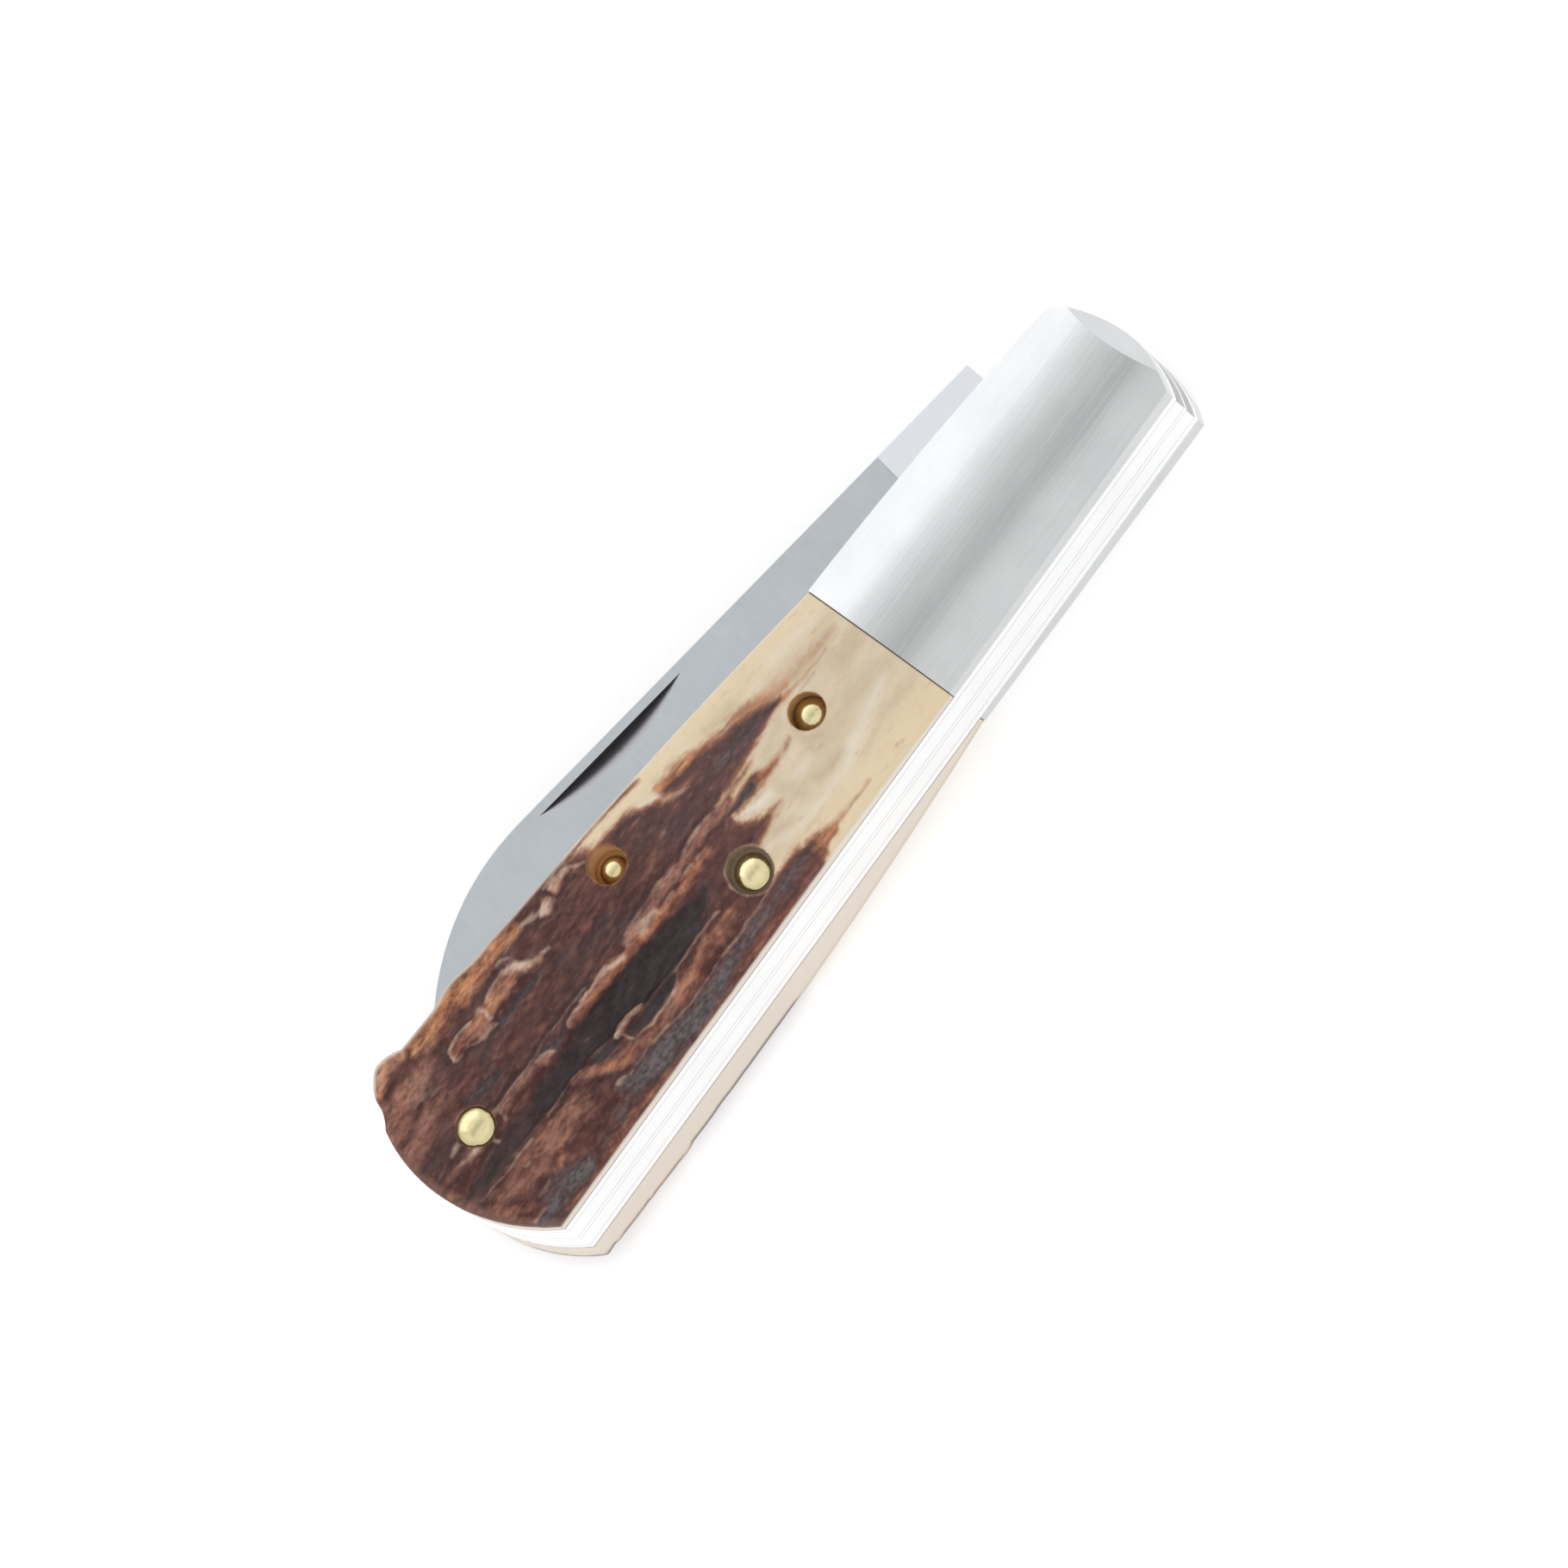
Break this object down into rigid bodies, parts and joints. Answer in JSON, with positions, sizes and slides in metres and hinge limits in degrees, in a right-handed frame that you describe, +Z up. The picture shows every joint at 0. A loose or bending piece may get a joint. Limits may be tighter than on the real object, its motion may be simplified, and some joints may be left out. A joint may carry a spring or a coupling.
{
  "type": "folding pocket knife",
  "caption": "Folding slip-joint pocket knife with a spear main blade and a pen blade, crowned metal bolsters and pinned antler scales over liners and back springs.",
  "frame": {"origin": "bottom centre of the closed knife's box, lying on its rear side", "axes": "+X along the handle towards the bolster and pivot end, +Y towards the side the blades open from, +Z up, out of the front side"},
  "size_m": [0.086, 0.0242, 0.0159],
  "materials": {
    "blade_steel": "satin",
    "spring_steel": "satin",
    "liner_steel": "satin",
    "bolster_metal": "satin",
    "antler": "satin",
    "pin_brass": "polished"
  },
  "bodies": {
    "handle": {"main_spring": "spring_steel", "pen_spring": "spring_steel", "front_liner": "liner_steel", "centre_liner": "liner_steel", "rear_liner": "liner_steel", "front_bolster": "bolster_metal", "rear_bolster": "bolster_metal", "pivot_pin": "bolster_metal", "front_joint_rivet": "bolster_metal", "front_nose_rivet": "bolster_metal", "rear_joint_rivet": "bolster_metal", "rear_nose_rivet": "bolster_metal", "front_scale": "antler", "rear_scale": "antler", "spring_pin": "pin_brass", "butt_pin": "pin_brass", "front_joint_pin": "pin_brass", "front_edge_pin": "pin_brass", "rear_joint_pin": "pin_brass", "rear_edge_pin": "pin_brass"},
    "main_blade": {"main_blade": "blade_steel"},
    "pen_blade": {"pen_blade": "blade_steel"}
  },
  "joints": [
    {"name": "main_blade_pivot", "type": "hinge", "parent": "handle", "child": "main_blade", "pos_m": [0.03682, -0.00435, 0.00868], "axis": [0, 0, -1], "range_deg": [0, 171.05], "deforming": ["main_spring"]},
    {"name": "pen_blade_pivot", "type": "hinge", "parent": "handle", "child": "pen_blade", "pos_m": [0.03682, -0.00435, 0.00868], "axis": [0, 0, -1], "range_deg": [0, 171.05], "deforming": ["pen_spring"]}
  ]
}
